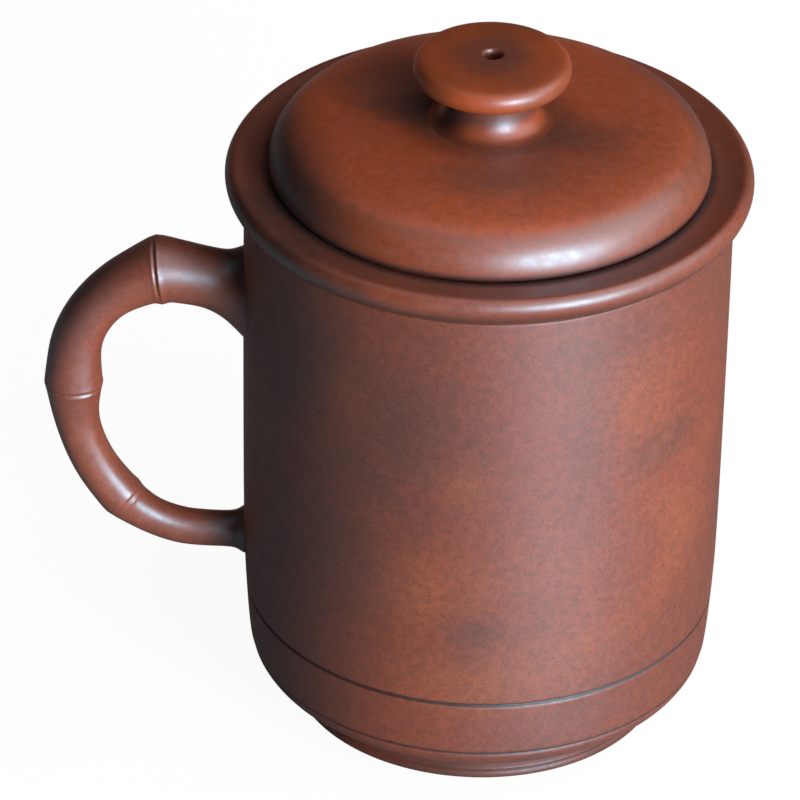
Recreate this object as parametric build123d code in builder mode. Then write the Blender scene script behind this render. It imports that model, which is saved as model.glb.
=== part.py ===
# Lidded tea mug in burnished, unglazed red clay, built up from eight hand-luted pieces:
# five make the cup and three make the loose lid that lifts straight off it.
# Millimetres, +Z up. The origin is on the mug's axis, in the plane that the foot stands on,
# and the bamboo handle stands out towards -X.
import os

from build123d import *

os.makedirs("parts", exist_ok=True)

# Cup wall: a tube that narrows a little towards the heel, with two incised lines near the bottom
wall_radius = 44.5  # outside, under the lip
wall_thickness = 4.2
wall_draw = 0.4  # how much narrower the wall is where the heel starts
cup_height = 112.0  # from the table to the crest of the lip
heel_height = 36.0  # the wall curves in below this level
heel_draw = 1.5  # how far it curves in down to the lower line
upper_line_height = 22.7
lower_line_height = 11.2  # the bottom corner is turned below this line
corner_draw = 3.2  # how far the bottom corner turns in
line_radius = 0.45  # round nose of the tool that presses the lines
cut_overrun = 1.0  # how far a cut runs past the clay that it takes away

# Base disc, set inside the bottom of the wall, and the foot ring under it
base_thickness = 4.2
inner_corner = 3.4  # hollow between the inside of the wall and the floor
foot_height = 6.8
foot_inset = 1.8  # the foot's bead stands back this far from the disc's edge
foot_width = 4.4
foot_neck_depth = 0.8  # recess above the bead
foot_bead_height = 1.7
foot_rounding = 0.4

# Mouth ring: the flared lip, its broad brim, and the throat that guides the lid
ring_depth = 8.5  # from the crest down to the top of the wall
lip_reach = 3.5  # how far the lip stands out past the wall
lip_belly_drop = 2.6  # the lip is widest this far below the crest
lip_depth = 5.2  # the lip's lower edge is this far below the crest
lip_under_reach = 1.7  # how far that lower edge stands out past the wall
lip_cove = 1.2  # small hollow between the lower edge and the wall
crest_inset = 1.2  # the crest is this far in from the lip's widest place
crest_rounding = 0.9
brim_fall = 0.9  # the brim is this much lower at the throat than at the crest
brim_dish = 0.15  # the brim is hollowed by this much
throat_ledge = 1.7  # the throat stands in this far from the inside of the wall
throat_rounding = 0.8
throat_depth = 4.0  # straight guiding length under the rounding

# Lid: a shallow dome with a rolled edge that rests on the brim
seat_gap = 0.25  # left between the lid and the brim all round
lid_overlap = 1.4  # how far the lid reaches out past the throat
lid_edge_inset = 1.0  # rounding under the widest place, measured inwards
lid_edge_rise = 1.4  # and upwards
shoulder_inset = 5.25  # the rolled edge turns into the dome here, measured inwards
shoulder_rise = 6.85  # and upwards from the widest place
crown_rise = 10.1  # from the widest place to the flat that takes the knob
lid_thickness = 4.2
vent_radius = 1.65  # steam vent through the knob and the lid

# Flange under the lid, which hangs in the throat
flange_clearance = 0.9  # all round, to the throat
flange_thickness = 3.2
flange_depth = 8.0
flange_chamfer = 1.0

# Knob: a thick button on a waisted stem
knob_radius = 14.3
stem_foot_radius = 10.4
stem_waist_radius = 7.8
stem_waist_height = 3.8  # above the lid
button_under_radius = 12.7
button_under_height = 6.9
button_belly_height = 8.95
button_top_radius = 13.2
button_top_height = 11.05
button_crown = 0.9  # how much the middle of the top stands above its edge

# Handle: a bent bamboo cane in four lengths, with a swollen joint between each two
upper_root_drop = 20.35  # below the top of the wall
upper_root_radius = 11.4
upper_joint_drop = 16.0
upper_joint_reach = 15.3  # from the wall
upper_joint_radius = 6.35
outer_joint_share = 0.504  # of the way from the lower joint up to the upper one
outer_joint_reach = 31.2
outer_joint_radius = 5.35
lower_joint_rise = 26.6  # above the lower line
lower_joint_reach = 22.6
lower_joint_radius = 4.3
lower_root_rise = 19.8
lower_root_radius = 5.4
lower_root_run = 6.0  # straight run out from the wall
crown_bow = 0.8  # how far each length is bent out of the straight
shoulder_bow = 4.95
flank_bow = 2.35
crown_slim = 5.65  # radius of each length where it is thinnest
shoulder_slim = 4.7
flank_slim = 4.1
tail_slim = 3.55
upper_root_depth = 2.5  # spare length inside the wall, cut off to its curve
lower_root_depth = 0.7
swell_share = 0.45  # share of a length over which a joint's swelling dies away
lean_share = 0.4  # share of a length over which its sections turn out of the plane that it starts on
station_shares = (0.12, 0.24, 0.38, 0.5, 0.62, 0.76, 0.88)  # sections between two joints
rib_width = 0.8  # each joint has two ribs side by side, with a pressed line between them
rib_lift = 0.15  # how far a rib stands above the swelling
line_dip = 0.25  # how far the pressed line lies below it

# Levels and radii that follow from the sizes above
ring_bottom = cup_height - ring_depth
base_bottom = foot_height
floor_height = base_bottom + base_thickness
heel_radius = wall_radius - wall_draw
line_inner_radius = heel_radius - heel_draw
corner_radius = line_inner_radius - corner_draw
bore_radius = wall_radius - wall_thickness
heel_bore_radius = heel_radius - wall_thickness
base_radius = heel_bore_radius - inner_corner
foot_radius = base_radius - foot_inset
throat_radius = bore_radius - throat_ledge
brim_height = cup_height - brim_fall
lid_bottom = brim_height + seat_gap
lid_radius = throat_radius + lid_overlap
lid_widest = lid_bottom + lid_edge_rise
lid_crown = lid_widest + crown_rise
flange_radius = throat_radius - flange_clearance
flange_bore = flange_radius - flange_thickness

# Points of the handle's middle line, in the plane through the mug's axis
upper_root = (upper_root_depth - wall_radius, ring_bottom - upper_root_drop)
upper_joint = (-wall_radius - upper_joint_reach, ring_bottom - upper_joint_drop)
lower_joint = (-heel_radius - lower_joint_reach, lower_line_height + lower_joint_rise)
lower_root = (lower_root_depth - heel_radius, lower_line_height + lower_root_rise)
tail_end = (-heel_radius - lower_root_run, lower_root[1])
outer_joint = (
    -wall_radius - outer_joint_reach,
    lower_joint[1] + outer_joint_share * (upper_joint[1] - lower_joint[1]),
)


def heel_lines():
    """Outer side of the wall, from its top down to the turned bottom corner."""
    side = Line((wall_radius, ring_bottom), (heel_radius, heel_height))
    heel = TangentArc(side @ 1, (line_inner_radius, lower_line_height), tangent=side % 1)
    corner = TangentArc(heel @ 1, (corner_radius, base_bottom), tangent=heel % 1)
    return heel, corner


# Solid form of the cup's outside, which the wall is hollowed from and the handle is cut to
with BuildPart() as wall_form:
    with BuildSketch(Plane.XZ):
        with BuildLine():
            heel_line, corner_line = heel_lines()
            Polyline(corner_line @ 1, (0, base_bottom), (0, ring_bottom), (wall_radius, ring_bottom))
        make_face()
    revolve(axis=Axis.Z)

# Level share of the upper line along the heel's curve, and its radius there
line_level_share = (heel_height - upper_line_height) / (heel_height - lower_line_height)
upper_line_point = heel_line @ line_level_share

# Cup wall: the form, bored out down to the seat of the base disc, with its two pressed lines
with BuildPart() as cup_wall:
    add(wall_form.part)
    with BuildSketch(Plane.XZ):
        with BuildLine():
            bore = Line((bore_radius, ring_bottom), (heel_bore_radius, floor_height + inner_corner))
            hollow = TangentArc(bore @ 1, (base_radius, floor_height), tangent=bore % 1)
            Polyline(
                hollow @ 1,
                (base_radius, base_bottom - cut_overrun),
                (0, base_bottom - cut_overrun),
                (0, ring_bottom + cut_overrun),
                (bore_radius, ring_bottom + cut_overrun),
                bore @ 0,
            )
        make_face()
    revolve(axis=Axis.Z, mode=Mode.SUBTRACT)
    with BuildSketch(Plane.XZ):
        with Locations((upper_line_point.X, upper_line_point.Y), (line_inner_radius, lower_line_height)):
            Circle(line_radius)
    revolve(axis=Axis.Z, mode=Mode.SUBTRACT)
cup_wall.part.label = "cup_wall"

# Base disc: closes the bottom of the wall and carries the foot ring
with BuildPart() as base_disc:
    with BuildSketch(Plane.XY.offset(base_bottom)):
        Circle(base_radius)
    extrude(amount=base_thickness)
base_disc.part.label = "base_disc"

# Foot ring: a bead to stand on, with a recessed neck above it
with BuildPart() as foot_ring:
    with BuildSketch(Plane.XZ):
        with BuildLine():
            bead = Polyline(
                (foot_radius - foot_width, foot_height),
                (foot_radius - foot_width, 0),
                (foot_radius, 0),
                (foot_radius, foot_bead_height),
            )
            neck_point = (foot_radius - foot_neck_depth, foot_bead_height + foot_neck_depth)
            neck = TangentArc(bead @ 1, neck_point, tangent=(-1, 0))
            Polyline(neck @ 1, (foot_radius - foot_neck_depth, foot_height), bead @ 0)
        make_face()
    revolve(axis=Axis.Z)
    fillet(foot_ring.edges().group_by(Axis.Z)[0], foot_rounding)
foot_ring.part.label = "foot_ring"

# Mouth ring: flared lip, brim and throat, luted on top of the wall
with BuildPart() as mouth_ring:
    lip_radius = wall_radius + lip_reach
    with BuildSketch(Plane.XZ) as lip_section:
        with BuildLine():
            collar = Line((wall_radius, ring_bottom), (wall_radius, cup_height - lip_depth - lip_cove))
            lip_edge = (wall_radius + lip_under_reach, cup_height - lip_depth)
            cove = TangentArc(collar @ 1, lip_edge, tangent=collar % 1)
            lip_belly = (lip_radius, cup_height - lip_belly_drop)
            lip = ThreePointArc(cove @ 1, lip_belly, (lip_radius - crest_inset, cup_height))
            brim_end = (throat_radius + throat_rounding, brim_height)
            brim = SagittaArc(lip @ 1, brim_end, brim_dish)
            throat_top = brim_height - throat_rounding
            edge = TangentArc(brim @ 1, (throat_radius, throat_top), tangent=brim % 1)
            Polyline(
                edge @ 1,
                (throat_radius, throat_top - throat_depth),
                (bore_radius, ring_bottom),
                collar @ 0,
            )
        make_face()
        fillet(lip_section.vertices().sort_by(Axis.Y)[-1], crest_rounding)
    revolve(axis=Axis.Z)
mouth_ring.part.label = "mouth_ring"

# Lid: domed shell with a rolled edge, open below inside the flange, and pierced by the vent
with BuildPart() as lid_dome:
    with BuildSketch(Plane.XZ):
        with BuildLine():
            under = Line((flange_bore, lid_bottom), (lid_radius - lid_edge_inset, lid_bottom))
            rim = TangentArc(under @ 1, (lid_radius, lid_widest), tangent=under % 1)
            shoulder_point = (lid_radius - shoulder_inset, lid_widest + shoulder_rise)
            shoulder = TangentArc(rim @ 1, shoulder_point, tangent=(0, 1))
            dome = TangentArc(shoulder @ 1, (stem_foot_radius, lid_crown), tangent=shoulder % 1)
            Polyline(dome @ 1, (0, lid_crown), (0, lid_crown - lid_thickness))
            vault_point = (flange_bore, shoulder_point[1] - lid_thickness)
            vault = TangentArc((0, lid_crown - lid_thickness), vault_point, tangent=(1, 0))
            Line(vault @ 1, under @ 0)
        make_face()
    revolve(axis=Axis.Z)
    with Locations((0, 0, lid_crown)):
        Hole(vent_radius)
lid_dome.part.label = "lid_dome"

# Flange: a ring luted under the lid, which keeps it centred in the throat
with BuildPart() as lid_flange:
    with BuildSketch(Plane.XY.offset(lid_bottom)):
        Circle(flange_radius)
        Circle(flange_bore, mode=Mode.SUBTRACT)
    extrude(amount=-flange_depth)
    lower_edges = lid_flange.edges().group_by(Axis.Z)[0].sort_by(SortBy.RADIUS)
    chamfer(lower_edges[-1], flange_chamfer)
lid_flange.part.label = "lid_flange"

# Knob: waisted stem and button, pierced by the same vent as the lid
with BuildPart() as knob:
    with BuildSketch(Plane.XZ):
        with BuildLine():
            seat = Line((0, lid_crown), (stem_foot_radius, lid_crown))
            waist = (stem_waist_radius, lid_crown + stem_waist_height)
            flare = TangentArc(waist, seat @ 1, tangent=(0, -1))
            button_edge = (button_under_radius, lid_crown + button_under_height)
            throat_cove = TangentArc(waist, button_edge, tangent=(0, 1))
            button_belly = (knob_radius, lid_crown + button_belly_height)
            button_top = (button_top_radius, lid_crown + button_top_height)
            button = ThreePointArc(throat_cove @ 1, button_belly, button_top)
            knob_top = (0, lid_crown + button_top_height + button_crown)
            cap = TangentArc(knob_top, button @ 1, tangent=(1, 0))
            Line(knob_top, seat @ 0)
        make_face()
    revolve(axis=Axis.Z)
    with Locations((0, 0, knob_top[1])):
        Hole(vent_radius)
knob.part.label = "knob"

# Middle line of the cane, from the upper root round to the lower one
with BuildLine(Plane.XZ) as cane:
    crown_line = SagittaArc(upper_root, upper_joint, -crown_bow)
    shoulder_line = SagittaArc(upper_joint, outer_joint, -shoulder_bow)
    flank_line = SagittaArc(outer_joint, lower_joint, -flank_bow)
    run_line = Line(tail_end, lower_root)
    tail_line = TangentArc(tail_end, lower_joint, tangent=(-1, 0)).reversed()


def joint_plane(before, after):
    """Plane across a joint, half way between the directions of the two lengths that meet there."""
    return Plane(before @ 1, x_dir=(0, 1, 0), z_dir=(before % 1) + (after % 0))


def swelling(distance_share):
    """Share of a joint's swelling that is left at a distance from it."""
    left_share = max(0, 1 - distance_share / swell_share)
    return left_share**2


def cane_sections(line, start, slim, end):
    """Sections of one length of cane, thinnest in the middle; start and end are a plane and a radius."""
    start_plane, start_radius = start
    end_plane, end_radius = end
    rings = [start]
    for share in station_shares:
        lean = max(0, 1 - share / lean_share)
        way = (line % share) * (1 - lean) + start_plane.z_dir * lean
        station = Plane(line @ share, x_dir=(0, 1, 0), z_dir=way)
        start_swell = (start_radius - slim) * swelling(share)
        end_swell = (end_radius - slim) * swelling(1 - share)
        rings.append((station, slim + start_swell + end_swell))
    rings.append(end)
    sections = []
    for plane, radius in rings:
        with BuildSketch(plane) as ring:
            Circle(radius)
        sections.append(ring.sketch)
    return sections


def joint_sides(plane, radius):
    """Both sides of a joint, where the lengths of cane are set against its ribs."""
    return (plane.offset(-rib_width), radius), (plane.offset(rib_width), radius)


# Planes across the joints and at the ends of the cane, and the five lengths between them
upper_plane = joint_plane(crown_line, shoulder_line)
outer_plane = joint_plane(shoulder_line, flank_line)
lower_plane = joint_plane(flank_line, tail_line)
before_upper, after_upper = joint_sides(upper_plane, upper_joint_radius)
before_outer, after_outer = joint_sides(outer_plane, outer_joint_radius)
before_lower, after_lower = joint_sides(lower_plane, lower_joint_radius)
upper_end = (Plane(crown_line @ 0, x_dir=(0, 1, 0), z_dir=(-1, 0, 0)), upper_root_radius)
run_start = (Plane(run_line @ 0, x_dir=(0, 1, 0), z_dir=run_line % 0), tail_slim)
lower_end = (Plane(run_line @ 1, x_dir=(0, 1, 0), z_dir=run_line % 1), lower_root_radius)
lengths = (
    (crown_line, upper_end, crown_slim, before_upper),
    (shoulder_line, after_upper, shoulder_slim, before_outer),
    (flank_line, after_outer, flank_slim, before_lower),
    (tail_line, after_lower, tail_slim, run_start),
    (run_line, run_start, tail_slim, lower_end),
)
joints = (
    (upper_plane, upper_joint_radius),
    (outer_plane, outer_joint_radius),
    (lower_plane, lower_joint_radius),
)

# Handle: the lengths of cane, a ribbed joint between each two, and both roots cut to the wall's curve
with BuildPart() as handle:
    for length in lengths:
        loft(cane_sections(*length))
    for plane, radius in joints:
        with BuildSketch(Plane(plane.origin, x_dir=plane.z_dir, z_dir=plane.x_dir)):
            with BuildLine():
                line_bottom = (0, radius - line_dip)
                rib_top = radius + rib_lift
                first_rib = ThreePointArc((-rib_width, radius), (-rib_width / 2, rib_top), line_bottom)
                second_rib = ThreePointArc(line_bottom, (rib_width / 2, rib_top), (rib_width, radius))
                Polyline(second_rib @ 1, (rib_width, 0), (-rib_width, 0), first_rib @ 0)
            make_face()
        revolve(axis=Axis(plane.origin, plane.z_dir))
    add(wall_form.part, mode=Mode.SUBTRACT)
handle.part.label = "handle"

for piece in (cup_wall, base_disc, foot_ring, mouth_ring, handle, lid_dome, lid_flange, knob):
    export_step(piece.part, f"parts/{piece.part.label}.step")
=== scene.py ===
import math

import bmesh
import bpy
from mathutils import Matrix, Vector


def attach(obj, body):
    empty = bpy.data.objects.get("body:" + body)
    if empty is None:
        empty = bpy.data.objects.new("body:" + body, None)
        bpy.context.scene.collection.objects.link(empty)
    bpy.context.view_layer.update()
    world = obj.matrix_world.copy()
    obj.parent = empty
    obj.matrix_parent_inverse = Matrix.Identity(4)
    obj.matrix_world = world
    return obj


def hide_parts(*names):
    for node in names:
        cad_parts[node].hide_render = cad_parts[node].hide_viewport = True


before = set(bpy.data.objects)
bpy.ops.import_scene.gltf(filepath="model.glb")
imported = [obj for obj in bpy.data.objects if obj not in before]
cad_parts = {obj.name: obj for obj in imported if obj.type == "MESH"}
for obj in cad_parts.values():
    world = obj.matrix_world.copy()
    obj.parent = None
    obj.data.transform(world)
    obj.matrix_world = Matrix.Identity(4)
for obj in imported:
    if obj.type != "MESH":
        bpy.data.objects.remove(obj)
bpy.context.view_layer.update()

# The view: the cup is seen from the front and from well above, with a long lens,
# so that the mouth is a wide oval and the wall hardly tapers with distance.
VIEW_DISTANCE = 1.4
VIEW_HEIGHT = 0.57286
VIEW_HEADING = 0.01309
VIEW_TILT = 0.00037
VIEW_ROLL = 0.01989
VIEW_AIM = 0.06
VIEW_LENS = 341.6
VIEW_END = 20
bpy.ops.object.select_all(action="DESELECT")
bpy.ops.object.camera_add()
camera = bpy.context.object
camera.location = (
    0,
    -VIEW_DISTANCE * math.cos(VIEW_HEIGHT),
    VIEW_AIM + VIEW_DISTANCE * math.sin(VIEW_HEIGHT),
)
turn = Matrix.Rotation(VIEW_HEADING, 3, "Z")
tip = Matrix.Rotation(math.pi / 2 - VIEW_HEIGHT + VIEW_TILT, 3, "X")
roll = Matrix.Rotation(VIEW_ROLL, 3, "Z")
camera.rotation_euler = (turn @ tip @ roll).to_euler()
camera.data.lens = VIEW_LENS
camera.data.clip_end = VIEW_END
bpy.context.scene.camera = camera
bpy.context.scene.view_settings.view_transform = "Standard"


# Cup wall: a tube of red clay, thrown, trimmed and burnished with a horn rib before firing.
# It narrows a little downwards, turns in at the bottom corner, and carries two lines pressed
# into it with a round-nosed tool. Unglazed, with smoky clouds left by the kiln, and with painted shade
# on the side away from the light, over the front left and in the two pressed lines.
MM = 0.001
FACETS = 72
WELD = 0.001
BURNISH_PASSES = 2
GRAIN_STRENGTH = 0.14
GRAIN_RELIEF = 0.1
QUARTER_TURN = 0.25


def throw(name, outline):
    """Turns a piece as on the wheel: a ring of clay is drawn through each radius and height in turn."""
    bpy.ops.object.select_all(action="DESELECT")
    radius, height = outline[0]
    bpy.ops.mesh.primitive_circle_add(vertices=FACETS, radius=radius * MM, location=(0, 0, height * MM))
    piece = bpy.context.object
    piece.name = name
    bpy.ops.object.transform_apply(location=True, rotation=False, scale=False)
    bpy.ops.object.mode_set(mode="EDIT")
    bpy.ops.mesh.select_all(action="SELECT")
    for next_radius, next_height in outline[1:]:
        lift = (0, 0, (next_height - height) * MM)
        bpy.ops.mesh.extrude_region_move(TRANSFORM_OT_translate={"value": lift})
        growth = next_radius / radius
        bpy.ops.transform.resize(value=(growth, growth, 1), center_override=(0, 0, next_height * MM))
        radius, height = next_radius, next_height
    bpy.ops.mesh.select_all(action="SELECT")
    bpy.ops.mesh.remove_doubles(threshold=WELD * MM)
    bpy.ops.mesh.normals_make_consistent(inside=False)
    bpy.ops.object.mode_set(mode="OBJECT")
    burnish(piece)
    return piece


def burnish(piece):
    """Rubs the facets of a piece down to a smooth skin."""
    skin = piece.modifiers.new("skin", "SUBSURF")
    skin.levels = BURNISH_PASSES
    skin.render_levels = BURNISH_PASSES
    bpy.ops.object.modifier_apply(modifier="skin")
    bpy.ops.object.shade_smooth()


def fix(piece, body, slot, material, *nodes):
    """Gives a piece its clay, and lets it stand for the solids that it was modelled from."""
    piece.data.materials.clear()
    piece.data.materials.append(material)
    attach(piece, body)
    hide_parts(*nodes)


class Clay:
    """Node tree of one piece's clay, built up coat by coat from the body colour."""

    def __init__(self, name, body_colour, cloud_colour, cloud_size, cloud_share):
        self.material = bpy.data.materials.new(name)
        self.material.use_nodes = True
        self.nodes = self.material.node_tree.nodes
        self.links = self.material.node_tree.links
        self.nodes.clear()
        self.place = self.nodes.new("ShaderNodeTexCoord").outputs["Object"]
        cloud = self.noise(scale=1 / (cloud_size * MM), detail=3, roughness=0.55)
        cloud = self.ramp(cloud, low=0.36, high=0.66, at_low=0, at_high=cloud_share)
        self.colour = self.mix(body_colour, cloud_colour, cloud)

    def noise(self, scale, detail, roughness):
        node = self.nodes.new("ShaderNodeTexNoise")
        node.inputs["Scale"].default_value = scale
        node.inputs["Detail"].default_value = detail
        node.inputs["Roughness"].default_value = roughness
        self.links.new(self.place, node.inputs["Vector"])
        return node.outputs["Fac"]

    def ramp(self, value, low, high, at_low, at_high):
        """Eases from one amount to another as a value goes from low to high."""
        node = self.nodes.new("ShaderNodeMapRange")
        node.interpolation_type = "SMOOTHSTEP"
        node.inputs["From Min"].default_value = low
        node.inputs["From Max"].default_value = high
        node.inputs["To Min"].default_value = at_low
        node.inputs["To Max"].default_value = at_high
        self.links.new(value, node.inputs["Value"])
        return node.outputs["Result"]

    def mix(self, under, over, share):
        node = self.nodes.new("ShaderNodeMix")
        node.data_type = "RGBA"
        sockets = [s for s in node.inputs if s.type == "RGBA"]
        for socket, colour in zip(sockets, (under, over)):
            if isinstance(colour, tuple):
                socket.default_value = (*colour, 1)
            else:
                self.links.new(colour, socket)
        factor = [s for s in node.inputs if s.type == "VALUE"][0]
        self.links.new(share, factor)
        return [s for s in node.outputs if s.type == "RGBA"][0]

    def math(self, operation, first, second):
        node = self.nodes.new("ShaderNodeMath")
        node.operation = operation
        for socket, value in zip(node.inputs, (first, second)):
            if isinstance(value, (int, float)):
                socket.default_value = value
            else:
                self.links.new(value, socket)
        return node.outputs["Value"]

    def radius(self):
        """Distance from the wheel's axis."""
        flat = self.nodes.new("ShaderNodeVectorMath")
        flat.operation = "MULTIPLY"
        flat.inputs[1].default_value = (1, 1, 0)
        self.links.new(self.place, flat.inputs[0])
        length = self.nodes.new("ShaderNodeVectorMath")
        length.operation = "LENGTH"
        self.links.new(flat.outputs["Vector"], length.inputs[0])
        return length.outputs["Value"]

    def height(self):
        split = self.nodes.new("ShaderNodeSeparateXYZ")
        self.links.new(self.place, split.inputs["Vector"])
        return split.outputs["Z"]

    def smoke_and_shade(self, colour, centre, stretch, reach, share):
        """A soft cloud of colour round a point, longer in some directions than in others: kiln smoke, and
        also painted shade and shadow.
        """
        shift = self.nodes.new("ShaderNodeVectorMath")
        shift.operation = "SUBTRACT"
        shift.inputs[1].default_value = tuple(MM * c for c in centre)
        self.links.new(self.place, shift.inputs[0])
        scale = self.nodes.new("ShaderNodeVectorMath")
        scale.operation = "DIVIDE"
        scale.inputs[1].default_value = stretch
        self.links.new(shift.outputs["Vector"], scale.inputs[0])
        length = self.nodes.new("ShaderNodeVectorMath")
        length.operation = "LENGTH"
        self.links.new(scale.outputs["Vector"], length.inputs[0])
        wisp = self.noise(scale=90, detail=3, roughness=0.6)
        wisp = self.ramp(wisp, low=0.3, high=0.7, at_low=0.75, at_high=1.25)
        distance = self.math("MULTIPLY", length.outputs["Value"], wisp)
        amount = self.ramp(distance, 0, reach * MM, share, 0)
        self.colour = self.mix(self.colour, colour, amount)

    def band(self, colour, value, low, high, fade, share):
        """A band of colour between two radii or heights, fading out at both edges."""
        rise = self.ramp(value, (low - fade) * MM, low * MM, 0, share)
        fall = self.ramp(value, high * MM, (high + fade) * MM, 1, 0)
        self.colour = self.mix(self.colour, colour, self.math("MULTIPLY", rise, fall))

    def paint_side_shade(self, colour, towards, low, high, share):
        """Paints shade on the side of a piece that turns away from the light, darker with distance that way.
        """
        reach = self.nodes.new("ShaderNodeVectorMath")
        reach.operation = "DOT_PRODUCT"
        reach.inputs[1].default_value = towards
        self.links.new(self.place, reach.inputs[0])
        amount = self.ramp(reach.outputs["Value"], low * MM, high * MM, 0, share)
        self.colour = self.mix(self.colour, colour, amount)

    def fire(self, rough, drag, sand, gloss):
        """The last coat: fine sand grain in the colour and the skin, and the gloss of the burnishing rib.

        Drag is how far the rib, held against the turning piece, draws the gloss out across its path.
        """
        mottle = self.noise(scale=650, detail=4, roughness=0.65)
        mottle = self.ramp(mottle, low=0.36, high=0.64, at_low=0, at_high=0.24 * sand)
        self.colour = self.mix(self.colour, SAND, mottle)
        grain = self.noise(scale=2600, detail=2, roughness=0.6)
        speckle = self.ramp(grain, low=0.48, high=0.75, at_low=0, at_high=0.45 * sand)
        self.colour = self.mix(self.colour, DARK_SAND, speckle)
        shader = self.nodes.new("ShaderNodeBsdfPrincipled")
        self.links.new(self.colour, shader.inputs["Base Color"])
        rubbing = self.noise(scale=500, detail=3, roughness=0.6)
        rubbing = self.ramp(rubbing, low=0.3, high=0.7, at_low=rough - 0.04, at_high=rough + 0.05)
        self.links.new(rubbing, shader.inputs["Roughness"])
        bump = self.nodes.new("ShaderNodeBump")
        bump.inputs["Strength"].default_value = GRAIN_STRENGTH
        bump.inputs["Distance"].default_value = GRAIN_RELIEF * MM
        self.links.new(grain, bump.inputs["Height"])
        self.links.new(bump.outputs["Normal"], shader.inputs["Normal"])
        shader.inputs["IOR"].default_value = gloss
        shader.inputs["Specular IOR Level"].default_value = 1.0
        shader.inputs["Specular Tint"].default_value = (*COOL_GLOSS, 1)
        shader.inputs["Anisotropic"].default_value = drag
        shader.inputs["Anisotropic Rotation"].default_value = QUARTER_TURN
        path = self.nodes.new("ShaderNodeTangent")
        path.direction_type = "RADIAL"
        path.axis = "Z"
        self.links.new(path.outputs["Tangent"], shader.inputs["Tangent"])
        surface = self.nodes.new("ShaderNodeOutputMaterial")
        self.links.new(shader.outputs["BSDF"], surface.inputs["Surface"])
        return self.material


RED_CLAY = (0.26, 0.057, 0.021)
SMOKED_CLAY = (0.13, 0.042, 0.027)
# Painted shade: the near-black put where shade and shadows fall on the pieces.
PAINTED_SHADE = (0.03, 0.014, 0.011)
# Dark clay of the kiln clouds, also used as painted shade.
DUSK_CLAY_AND_SHADE = (0.088, 0.036, 0.028)
FLAME_CLAY = (0.355, 0.093, 0.029)
SAND = (0.03, 0.013, 0.01)
DARK_SAND = (0.02, 0.01, 0.008)
COOL_GLOSS = (0.5, 0.82, 1)
# Direction away from the lights, towards which the side shade is painted.
AWAY_FROM_LIGHT = (-0.97, -0.24, 0)

wall = throw(
    "cup_wall_turned",
    (
        (40.3, 105.4), (44.4, 105.4), (44.5, 105.3), (44.5, 103.5), (44.5, 92), (44.45, 78),
        (44.35, 64), (44.25, 50), (44.1, 37), (43.95, 30), (43.72, 25.4), (43.64, 23.7), (43.62, 23.3),
        (43.45, 22.95), (43.1, 22.75), (43.1, 22.55), (43.42, 22.3), (43.55, 21.95), (43.5, 21.5),
        (43.4, 20), (43.1, 15.6), (42.75, 12.2), (42.65, 11.7), (42.4, 11.35), (42.15, 11.15),
        (42.3, 10.8), (42.35, 10.45), (42.1, 9.8), (41.3, 8.5), (40.2, 7.4), (38.9, 6.8), (36.6, 6.8),
        (36.5, 6.9), (36.5, 10.9), (36.6, 11), (37.8, 11.4), (39.1, 12.6), (39.8, 14.6), (39.9, 19),
        (40.0, 40), (40.15, 72), (40.3, 100), (40.3, 105.3), (40.3, 105.4),
    ),
)
wall_clay = Clay("red_clay_wall", RED_CLAY, SMOKED_CLAY, cloud_size=45, cloud_share=0.35)
# Dark clouds; the large ones on the front left also paint shade where the wall turns from the light.
# centre, stretch, reach and share of each cloud
dusk_clouds_and_shade = (
    ((-26, -36, 53), (1, 1, 1.5), 24, 0.6),
    ((-15, -42, 80), (1.2, 1, 1.6), 20, 0.6),
    ((-33, -30, 88), (1, 1, 1), 22, 0.55),
    ((32, -30, 72), (1.2, 1.2, 0.7), 12, 0.5),
    ((22, -38, 98), (1.6, 1.6, 0.6), 13, 0.25),
    ((19, -40, 78), (0.8, 0.8, 2), 11, 0.3),
    ((-1, -44, 39), (1, 1, 0.6), 9, 0.4),
    ((-17, -41, 48), (1, 1, 0.8), 10, 0.35),
    ((30, 32, 80), (1, 1, 1.4), 20, 0.5),
    ((-12, 42, 50), (1.3, 1, 0.9), 20, 0.5),
)
flame_clouds = (
    ((-25, -37, 85), (1, 1, 1), 9, 0.25),
    ((-11, -43, 47), (1, 1, 1), 13, 0.5),
    ((-5, -44, 26), (1.4, 1, 0.7), 13, 0.45),
    ((11, -43, 53), (1, 1, 1), 12, 0.35),
    ((30, -33, 84), (1, 1, 1.5), 13, 0.35),
    ((37, -24, 52), (1, 1, 1.6), 14, 0.5),
    ((13, -42, 32), (1.6, 1, 1), 15, 0.4),
    ((-3, -44, 71), (1, 1, 1), 9, 0.3),
    ((8, 43, 84), (1.2, 1, 1), 16, 0.5),
    ((40, 18, 40), (1, 1, 1.2), 15, 0.5),
)
for clay_colour, clouds in ((DUSK_CLAY_AND_SHADE, dusk_clouds_and_shade), (FLAME_CLAY, flame_clouds)):
    for cloud in clouds:
        wall_clay.smoke_and_shade(clay_colour, *cloud)
# Painted shade on the side that turns away from the light.
wall_clay.paint_side_shade(PAINTED_SHADE, AWAY_FROM_LIGHT, low=26, high=46, share=0.5)
# Painted shade in the two pressed lines.
wall_clay.band(PAINTED_SHADE, wall_clay.height(), low=22.4, high=22.9, fade=0.35, share=0.85)
wall_clay.band(PAINTED_SHADE, wall_clay.height(), low=11.0, high=11.3, fade=0.3, share=0.85)
wall_fired = wall_clay.fire(rough=0.55, drag=0.4, sand=1, gloss=1.6)
fix(wall, "cup", "cup_clay", wall_fired, "cup_wall")

# Base disc: a slab of the same clay luted into the bottom of the wall.
# It is seen from above with the lid off, and from below inside the foot ring.
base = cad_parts["base_disc"]
base_clay = Clay("red_clay_base", RED_CLAY, SMOKED_CLAY, cloud_size=30, cloud_share=0.5)
base.data.materials.clear()
base.data.materials.append(base_clay.fire(rough=0.55, drag=0, sand=1, gloss=1.6))

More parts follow.
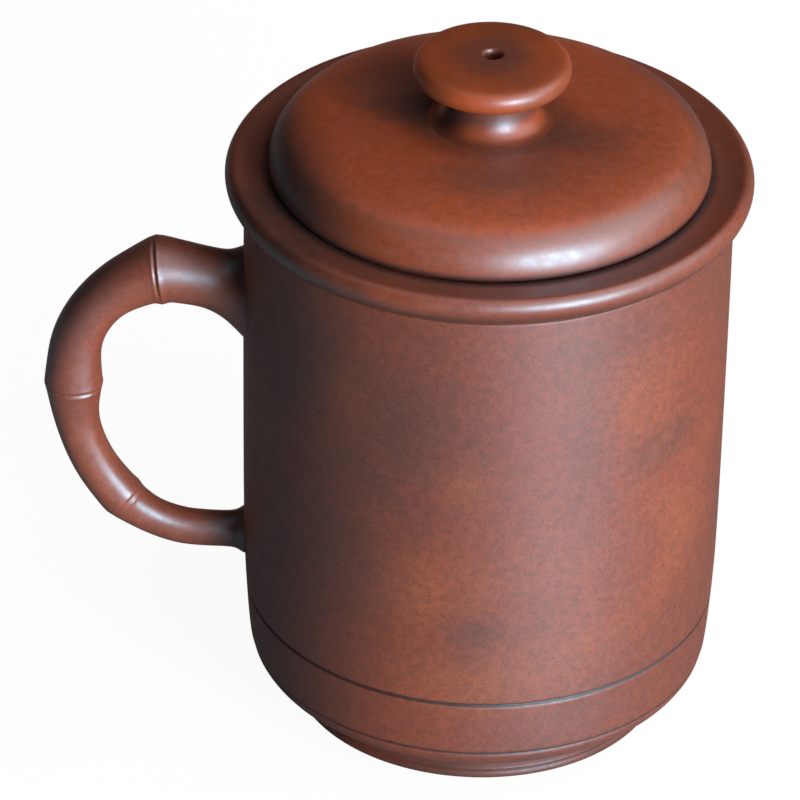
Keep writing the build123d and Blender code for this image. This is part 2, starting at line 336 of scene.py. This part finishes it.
# Foot ring: a coil of clay luted under the disc and turned to a bead with a narrow neck above it.
# The cup stands on its flat lower edge, which is rubbed level.
foot = throw(
    "foot_ring_turned",
    (
        (30.3, 6.8), (30.3, 6.7), (30.3, 0.6), (30.5, 0.12), (31.0, 0), (34.0, 0), (34.45, 0.12),
        (34.7, 0.6), (34.65, 1.3), (34.3, 1.65), (34.0, 1.8), (33.9, 2.2), (33.9, 6.7), (33.9, 6.8),
        (30.3, 6.8),
    ),
)
foot_clay = Clay("red_clay_foot", SMOKED_CLAY, RED_CLAY, cloud_size=30, cloud_share=0.5)
foot_fired = foot_clay.fire(rough=0.52, drag=0.4, sand=1, gloss=1.5)
fix(foot, "cup", "cup_clay", foot_fired, "foot_ring")

# Mouth ring: the flared lip and its broad brim, luted on top of the wall and turned together with it.
# The brim dips towards the throat, which guides the lid's flange.
# Painted shade: the dark line in the gap where the lid meets the brim.
GAP_SHADE = (0.02, 0.016, 0.019)
mouth = throw(
    "mouth_ring_turned",
    (
        (44.4, 105.4), (44.5, 105.5), (44.75, 105.75), (45.4, 106.15), (46.6, 106.95), (47.6, 108.1),
        (48.05, 109.5), (47.9, 110.6), (47.4, 111.45), (46.75, 111.95), (46.1, 112.0), (45.3, 111.75),
        (44.0, 111.4), (42.5, 111.2), (41.0, 111.1), (39.8, 111.05), (39.1, 110.75), (38.65, 110.0),
        (38.6, 109), (38.6, 106.4), (39.0, 105.9), (40.2, 105.45), (40.4, 105.4), (44.4, 105.4),
    ),
)
mouth_clay = Clay("red_clay_mouth", RED_CLAY, SMOKED_CLAY, cloud_size=40, cloud_share=0.3)
# Painted shade under the lip.
mouth_clay.band(PAINTED_SHADE, mouth_clay.height(), low=104, high=107.6, fade=2.2, share=0.5)
# Painted shade on the front left of the lip.
mouth_clay.smoke_and_shade(PAINTED_SHADE, (-38, -30, 107), (1, 1, 0.25), reach=38, share=0.9)
# A darker ring on the brim next to the lid.
mouth_clay.band(SMOKED_CLAY, mouth_clay.radius(), low=36, high=43, fade=2.2, share=0.2)
# Painted shade in the gap where the lid sits on the brim.
mouth_clay.band(GAP_SHADE, mouth_clay.radius(), low=36, high=40.5, fade=1.2, share=0.6)
# Painted shade on the side that turns away from the light.
mouth_clay.paint_side_shade(PAINTED_SHADE, AWAY_FROM_LIGHT, low=30, high=49, share=0.45)
mouth_fired = mouth_clay.fire(rough=0.42, drag=0, sand=0.7, gloss=1.66)
fix(mouth, "cup", "cup_clay", mouth_fired, "mouth_ring")

# Handle: a cane of clay rolled by hand, bent to a bamboo stem and luted to the wall at both ends.
# Each joint is swollen, and a line is pressed into it, which raises a thin rib beside it.
# All three lines are pressed only on the side that faces the front and a little upwards.
ROSE_CLAY = (0.34, 0.084, 0.038)
UP_AND_OUT = (-0.84, 0.1, 0.54)
CANE_FACETS = 32
SWELL_SHARE = 0.45
FLARE_SHARE = 0.3
TAIL_HEIGHT = 31.0
upper_root, upper_joint = Vector((-42.0, 0, 83.15)), Vector((-59.8, 0, 87.5))
outer_joint, lower_joint = Vector((-75.7, 0, 62.85)), Vector((-66.7, 0, 37.8))
tail_end = Vector((-50.1, 0, TAIL_HEIGHT))
crown_bow, shoulder_bow, flank_bow, tail_bow = 0.8, 5.5, 2.65, 1.95
crown_slim, shoulder_slim, flank_slim, tail_slim = 5.65, 4.7, 4.1, 3.55
root_thick, upper_thick, outer_thick, lower_thick, tail_thick = 8.1, 6.5, 5.6, 4.4, 3.52
OUT_OF_WALL = Vector((-1, 0, 0))
FACING = Vector((0, -0.84, 0.54))
SHARES = (0.2, 0.29, 0.38, 0.5, 0.62, 0.71, 0.8)


def cane_place(start, end, bow, share):
    """Place on a bowed length of the cane, and the direction that the cane runs in there."""
    along = end - start
    out = Vector((along.z, 0, -along.x)).normalized()
    place = start + along * share + out * (bow * 4 * share * (1 - share))
    return place, (along + out * (bow * 4 * (1 - 2 * share))).normalized()


def cane_length(start, end, bow, start_radius, slim, end_radius, shares):
    """Rings of one length: thin in the middle and swelling towards both ends."""
    rings = []
    for share in shares:
        place, way = cane_place(start, end, bow, share)
        start_swell = max(0, 1 - share / SWELL_SHARE) ** 2
        end_swell = max(0, 1 - (1 - share) / SWELL_SHARE) ** 2
        radius = slim + (start_radius - slim) * start_swell + (end_radius - slim) * end_swell
        rings.append((place, way, radius, 0, None))
    return rings


def cane_joint(joint, way_in, way_out, radius, before, after, pressed, span):
    """Rings across a joint: the lengths before and after it swell up to it, and the line spans one side."""
    way = (way_in + way_out).normalized()
    rings = []
    for step, press in pressed:
        slim, length = before if step < 0 else after
        swell = max(0, 1 - abs(step) / length / SWELL_SHARE) ** 2
        rings.append((joint + way * step, way, slim + (radius - slim) * swell, press, span))
    return rings


ways = [
    cane_place(upper_root, upper_joint, crown_bow, 1)[1],
    cane_place(upper_joint, outer_joint, shoulder_bow, 0)[1],
    cane_place(upper_joint, outer_joint, shoulder_bow, 1)[1],
    cane_place(outer_joint, lower_joint, flank_bow, 0)[1],
    cane_place(outer_joint, lower_joint, flank_bow, 1)[1],
    cane_place(lower_joint, tail_end, tail_bow, 0)[1],
]
# step along the cane and press, in or out, of each ring across a joint's line
UPPER_LINE = (
    (-1.6, 0), (-1.0, 0.02), (-0.6, 0.1), (-0.35, 0.08), (-0.2, -0.2), (0, -0.32), (0.2, -0.2), (0.35, 0.08),
    (0.6, 0.16), (0.85, 0.1), (1.1, -0.14), (1.6, -0.08),
)
OUTER_LINE = (
    (-1.6, 0), (-0.8, 0), (-0.4, 0.02), (-0.15, -0.1), (0.05, -0.22), (0.25, -0.06), (0.5, 0.2), (0.75, 0.22),
    (1.05, 0.02), (1.4, -0.06), (1.9, 0),
)
LOWER_LINE = (
    (-1.6, 0), (-0.8, 0), (-0.4, 0), (-0.15, -0.08), (0.05, -0.18), (0.25, -0.05), (0.5, 0.12), (0.75, 0.13),
    (1.05, 0), (1.4, -0.04), (1.9, 0),
)
# how squarely a place has to face that side to take each third of a line's depth
UPPER_SPAN, OUTER_SPAN, LOWER_SPAN = (0.3, 0.5, 0.7), (0.25, 0.45, 0.65), (0.5, 0.66, 0.82)
# reach, rise and radius of each ring of the flared root, and its share of the turn into the crown
root_flare = (
    (-41.4, 83.0, 10.4, 0), (-42.8, 83.3, 9.6, 0.06), (-43.9, 83.7, 8.75, 0.15), (-45.0, 84.2, 7.85, 0.3),
    (-46.2, 84.75, 7.0, 0.45), (-47.5, 85.2, 6.3, 0.65), (-48.9, 85.6, 5.85, 0.85),
)
crown_way = cane_place(upper_root, upper_joint, crown_bow, FLARE_SHARE)[1]
rings = []
for reach, rise, radius, turn_share in root_flare:
    way = OUT_OF_WALL.lerp(crown_way, turn_share).normalized()
    rings.append((Vector((reach, 0, rise)), way, radius, 0, None))
# slim radius and run of each length, as the joints beside it swell up from them
crown, shoulder = (crown_slim, 18.3), (shoulder_slim, 29.3)
flank, tail = (flank_slim, 26.6), (tail_slim, 17.9)
rings += cane_length(upper_root, upper_joint, crown_bow, root_thick, crown_slim, upper_thick, SHARES[3:6])
rings += cane_joint(upper_joint, ways[0], ways[1], upper_thick, crown, shoulder, UPPER_LINE, UPPER_SPAN)
rings += cane_length(upper_joint, outer_joint, shoulder_bow, upper_thick, shoulder_slim, outer_thick, SHARES)
rings += cane_joint(outer_joint, ways[2], ways[3], outer_thick, shoulder, flank, OUTER_LINE, OUTER_SPAN)
rings += cane_length(outer_joint, lower_joint, flank_bow, outer_thick, flank_slim, lower_thick, SHARES)
rings += cane_joint(lower_joint, ways[4], ways[5], lower_thick, flank, tail, LOWER_LINE, LOWER_SPAN)
rings += cane_length(lower_joint, tail_end, tail_bow, lower_thick, tail_slim, tail_thick, SHARES)
# reach and radius of each ring of the lower root, which runs level into the wall
tail_flare = (
    (-50.1, tail_thick), (-48.2, 3.48), (-46.6, 3.55), (-45.6, 3.72),
    (-44.9, 4.05), (-44.3, 4.5), (-43.0, 5.2),
)
for reach, radius in tail_flare:
    rings.append((Vector((reach, 0, TAIL_HEIGHT)), -OUT_OF_WALL, radius, 0, None))

place, way, radius = rings[0][:3]
heading = math.atan2(way.x, way.z)
bpy.ops.object.select_all(action="DESELECT")
bpy.ops.mesh.primitive_circle_add(
    vertices=CANE_FACETS, radius=radius * MM, fill_type="NGON", location=place * MM, rotation=(0, heading, 0)
)
cane = bpy.context.object
cane.name = "bamboo_handle"
bpy.ops.object.transform_apply(location=True, rotation=True, scale=True)
bpy.ops.object.mode_set(mode="EDIT")
bpy.ops.mesh.select_all(action="SELECT")
for next_place, next_way, next_radius, press, span in rings[1:]:
    bpy.ops.mesh.extrude_region_move(TRANSFORM_OT_translate={"value": (next_place - place) * MM})
    next_heading = math.atan2(next_way.x, next_way.z)
    swing = (next_heading - heading + math.pi) % (2 * math.pi) - math.pi
    centre = next_place * MM
    bpy.ops.transform.rotate(value=-swing, orient_axis="Y", center_override=centre)
    growth = next_radius / radius
    bpy.ops.transform.resize(value=(growth, growth, growth), center_override=centre)
    if press:
        clay = bmesh.from_edit_mesh(cane.data)
        ring = [corner for corner in clay.verts if corner.select]
        for facing in span:
            for corner in ring:
                corner.select_set((corner.co - centre).normalized().dot(FACING) > facing)
            squeeze = 1 + press / len(span) / next_radius
            bpy.ops.transform.resize(value=(squeeze, squeeze, squeeze), center_override=centre)
        for corner in ring:
            corner.select_set(True)
        clay.select_flush(True)
    place, heading, radius = next_place, next_heading, next_radius
bpy.ops.mesh.select_all(action="SELECT")
bpy.ops.mesh.normals_make_consistent(inside=False)
bpy.ops.object.mode_set(mode="OBJECT")
burnish(cane)
handle_clay = Clay("red_clay_handle", ROSE_CLAY, SMOKED_CLAY, cloud_size=25, cloud_share=0.4)
# Painted shade where the handle meets the wall at both roots.
handle_clay.smoke_and_shade(PAINTED_SHADE, (-42, 1, 88), (1, 1, 1), reach=17, share=0.9)
handle_clay.smoke_and_shade(PAINTED_SHADE, (-43, 0, 32), (1, 1, 1), reach=10, share=0.85)
# Painted shade on the inner side of the lower length, which faces the cup.
handle_clay.smoke_and_shade(DUSK_CLAY_AND_SHADE, (-57, 0, 48), (1, 1, 1.4), reach=12, share=0.6)
# Painted shade on the outer side of the shoulder.
handle_clay.paint_side_shade(DUSK_CLAY_AND_SHADE, UP_AND_OUT, low=99, high=107, share=0.85)
handle_fired = handle_clay.fire(rough=0.43, drag=0, sand=0.8, gloss=1.72)
fix(cane, "cup", "handle_clay", handle_fired, "handle")

# Lid: a shallow dome with a rolled edge that lies on the brim, with a vent through its middle.
# Its clay came out more orange than the cup's, darker round the knob's foot and in patches in front of it.
# Painted shade lies on the rolled edge, on the sides away from the light and where it meets the brim,
# and the knob's shadow is painted to its left.
ORANGE_CLAY = (0.44, 0.074, 0.009)
UMBER_CLAY = (0.13, 0.036, 0.01)
DARK_UMBER = (0.06, 0.022, 0.012)
BACK_AND_RIGHT = (0.85, 0.52, 0)
lid = throw(
    "lid_dome_turned",
    (
        (34.5, 111.4), (34.6, 111.35), (39.1, 111.35), (39.7, 111.45), (40.0, 111.85), (40.1, 112.6),
        (40.0, 113.9), (39.4, 115.8), (38.4, 117.35), (37.03, 118.6), (35.35, 119.48), (33.2, 120.05),
        (30, 120.63), (24, 121.28), (18, 121.54), (12, 121.62), (8, 121.62), (3, 121.62), (1.8, 121.62),
        (1.65, 121.5), (1.65, 118.8), (1.8, 118.65), (8, 118.5), (16, 117.95), (24, 117.07),
        (30, 116.2), (33.5, 115.65), (34.4, 115.4), (34.5, 115.2), (34.5, 111.4),
    ),
)
lid_clay = Clay("orange_clay_lid", ORANGE_CLAY, UMBER_CLAY, cloud_size=45, cloud_share=0.3)
# Darker round the knob's foot.
lid_clay.band(DARK_UMBER, lid_clay.radius(), low=0, high=12, fade=6, share=0.45)
lid_clay.smoke_and_shade(DARK_UMBER, (15, -7, 121.6), (1.4, 1.1, 1), reach=12, share=0.6)
lid_clay.smoke_and_shade(DARK_UMBER, (2, -21, 121.6), (1.6, 0.9, 1), reach=13, share=0.55)
# Darker rolled edge: partly the clay's own tone, partly painted shade.
lid_clay.band(UMBER_CLAY, lid_clay.radius(), low=37.6, high=44, fade=2.4, share=0.5)
# Painted shadow of the knob, cast to its left and back.
lid_clay.smoke_and_shade(PAINTED_SHADE, (-16, 14, 121.6), (1.1, 1.3, 1), reach=18, share=0.7)
lid_clay.smoke_and_shade(PAINTED_SHADE, (-12, 2, 121.6), (1.3, 1, 1), reach=9, share=0.75)
# Painted shade at the lid's lower edge, where it meets the brim.
lid_clay.band(GAP_SHADE, lid_clay.height(), low=100, high=111.9, fade=1.2, share=0.8)
# Painted shade on the side that turns away from the light.
lid_clay.paint_side_shade(PAINTED_SHADE, AWAY_FROM_LIGHT, low=28, high=40, share=0.8)
# Painted shade on the back right of the rolled edge.
lid_clay.paint_side_shade(DARK_UMBER, BACK_AND_RIGHT, low=30, high=41, share=0.75)
lid_fired = lid_clay.fire(rough=0.45, drag=0, sand=0.7, gloss=1.78)
fix(lid, "lid", "lid_clay", lid_fired, "lid_dome")

# Flange: a ring of the lid's clay luted under it, which hangs in the throat and keeps the lid in its place.
# It is left rougher than the outside and shows only with the lid off.
flange = throw(
    "lid_flange_turned",
    (
        (34.5, 111.35), (34.5, 111.2), (34.5, 104), (34.6, 103.5), (34.9, 103.35), (36.5, 103.35),
        (37.1, 103.7), (37.6, 104.3), (37.7, 104.9), (37.7, 111.2), (37.7, 111.35), (34.5, 111.35),
    ),
)
flange_clay = Clay("orange_clay_flange", ORANGE_CLAY, SMOKED_CLAY, cloud_size=30, cloud_share=0.4)
flange_fired = flange_clay.fire(rough=0.55, drag=0, sand=0.7, gloss=1.6)
fix(flange, "lid", "lid_clay", flange_fired, "lid_flange")

# Knob: a thick button on a waisted stem, turned from a ball of clay and luted to the lid.
# The steam vent runs straight down through it, and the top is darker round the vent's rim.
# Shadow is painted on the waist under the button and on the left of the stem.
knob = throw(
    "knob_turned",
    (
        (1.65, 121.2), (12.2, 121.3), (12.1, 121.5), (11.4, 121.62), (10.6, 121.68), (9.95, 121.86),
        (9.4, 122.18), (8.9, 122.64), (8.45, 123.25), (8.1, 124.05), (7.85, 125.0), (7.75, 126.2),
        (7.85, 127.4), (8.4, 128.5), (9.7, 129.1), (11.2, 129.35), (12.7, 129.6), (13.8, 130.25),
        (14.35, 131.45), (14.25, 132.7), (13.8, 133.5), (13.1, 133.95), (12.0, 134.2), (9, 134.5),
        (5, 134.72), (2.4, 134.78), (2.0, 134.76), (1.88, 134.62), (1.72, 134.2), (1.65, 133.7),
        (1.65, 132.6), (1.65, 129), (1.65, 121.2),
    ),
)
knob_clay = Clay("orange_clay_knob", ORANGE_CLAY, UMBER_CLAY, cloud_size=45, cloud_share=0.85)
# Painted shadow under the button, on the waist.
knob_clay.band(PAINTED_SHADE, knob_clay.height(), low=125.2, high=128.8, fade=2, share=0.65)
# Darker at the foot, like the lid round it.
knob_clay.band(DARK_UMBER, knob_clay.height(), low=121, high=121.7, fade=0.8, share=0.45)
# Painted shadow on the left of the stem.
knob_clay.smoke_and_shade(PAINTED_SHADE, (-7.5, -4, 124), (1, 1, 1), reach=8, share=0.9)
# Darker round the vent.
knob_clay.band(SMOKED_CLAY, knob_clay.radius(), low=0, high=4, fade=6, share=0.7)
knob_fired = knob_clay.fire(rough=0.43, drag=0, sand=0.4, gloss=1.62)
fix(knob, "lid", "lid_clay", knob_fired, "knob")

# Floor and light: a pale table in a dim room, with a window to the right of the camera and a wider one
# further round that side. A faint light overhead and a low one behind keep the top and the back readable.
FLOOR_SIZE = 8
FLOOR_BOUNCE = (0.24, 0.24, 0.24)
FLOOR_SHADE = (0.08, 0.08, 0.08)
FLOOR_WHITE = 0.94
FLOOR_MIRRORED = 0.02
ROOM_TINT = (0.9, 0.95, 1)
ROOM_LIGHT = 0.01
LAMP_AIM = Vector((0, 0, 0.07))
bpy.ops.object.select_all(action="DESELECT")
bpy.ops.mesh.primitive_plane_add(size=FLOOR_SIZE)
floor = bpy.context.object
floor.name = "floor"
floor_paint = bpy.data.materials.new("pale_floor")
floor_paint.use_nodes = True
floor_nodes, floor_links = floor_paint.node_tree.nodes, floor_paint.node_tree.links
floor_nodes.clear()
pale = floor_nodes.new("ShaderNodeBsdfDiffuse")
path = floor_nodes.new("ShaderNodeLightPath")
tone = floor_nodes.new("ShaderNodeMixRGB")
tone.inputs["Color1"].default_value = (*FLOOR_BOUNCE, 1)
tone.inputs["Color2"].default_value = (*FLOOR_SHADE, 1)
floor_links.new(path.outputs["Is Camera Ray"], tone.inputs["Fac"])
floor_links.new(tone.outputs["Color"], pale.inputs["Color"])
seen = floor_nodes.new("ShaderNodeMath")
seen.operation = "MAXIMUM"
floor_links.new(path.outputs["Is Camera Ray"], seen.inputs[0])
floor_links.new(path.outputs["Is Transmission Ray"], seen.inputs[1])
mirrored = floor_nodes.new("ShaderNodeMath")
mirrored.operation = "MULTIPLY_ADD"
mirrored.inputs[1].default_value = FLOOR_MIRRORED
floor_links.new(path.outputs["Is Glossy Ray"], mirrored.inputs[0])
bright = floor_nodes.new("ShaderNodeMath")
bright.operation = "MULTIPLY"
bright.inputs[1].default_value = FLOOR_WHITE
floor_links.new(seen.outputs["Value"], bright.inputs[0])
floor_links.new(bright.outputs["Value"], mirrored.inputs[2])
glow = floor_nodes.new("ShaderNodeEmission")
floor_links.new(mirrored.outputs["Value"], glow.inputs["Strength"])
both = floor_nodes.new("ShaderNodeAddShader")
floor_links.new(pale.outputs["BSDF"], both.inputs[0])
floor_links.new(glow.outputs["Emission"], both.inputs[1])
floor_surface = floor_nodes.new("ShaderNodeOutputMaterial")
floor_links.new(both.outputs["Shader"], floor_surface.inputs["Surface"])
floor.data.materials.append(floor_paint)


def lamp(name, heading, climb, distance, width, height, power, colour):
    """A soft panel aimed at the cup; heading is to the right of the camera, both in degrees."""
    turned, raised = math.radians(heading), math.radians(climb)
    towards = Vector(
        (math.sin(turned) * math.cos(raised), -math.cos(turned) * math.cos(raised), math.sin(raised))
    )
    bpy.ops.object.light_add(type="AREA", location=LAMP_AIM + towards * distance)
    panel = bpy.context.object
    panel.name = name
    panel.rotation_euler = towards.to_track_quat("Z", "Y").to_euler()
    panel.data.shape = "RECTANGLE"
    panel.data.size = width
    panel.data.size_y = height
    panel.data.energy = power
    panel.data.color = colour
    return panel


lamp(
    "window", heading=34, climb=11, distance=1.5, width=0.8, height=0.6, power=34, colour=(0.95, 0.97, 1)
)
lamp(
    "side_window", heading=70, climb=38, distance=2.0, width=3.0, height=2.4, power=35, colour=(1, 0.97, 0.94)
)
lamp(
    "ceiling", heading=0, climb=80, distance=1.6, width=1.6, height=1.6, power=3, colour=(0.97, 0.98, 1)
)
fill = lamp(
    "back_fill", heading=190, climb=5, distance=1.6, width=2.2, height=0.5, power=20, colour=(1, 0.98, 0.96)
)
fill.visible_glossy = False
room = bpy.data.worlds.new("room")
room.use_nodes = True
room_light = room.node_tree.nodes["Background"]
room_light.inputs["Color"].default_value = (*ROOM_TINT, 1)
room_light.inputs["Strength"].default_value = ROOM_LIGHT
bpy.context.scene.world = room
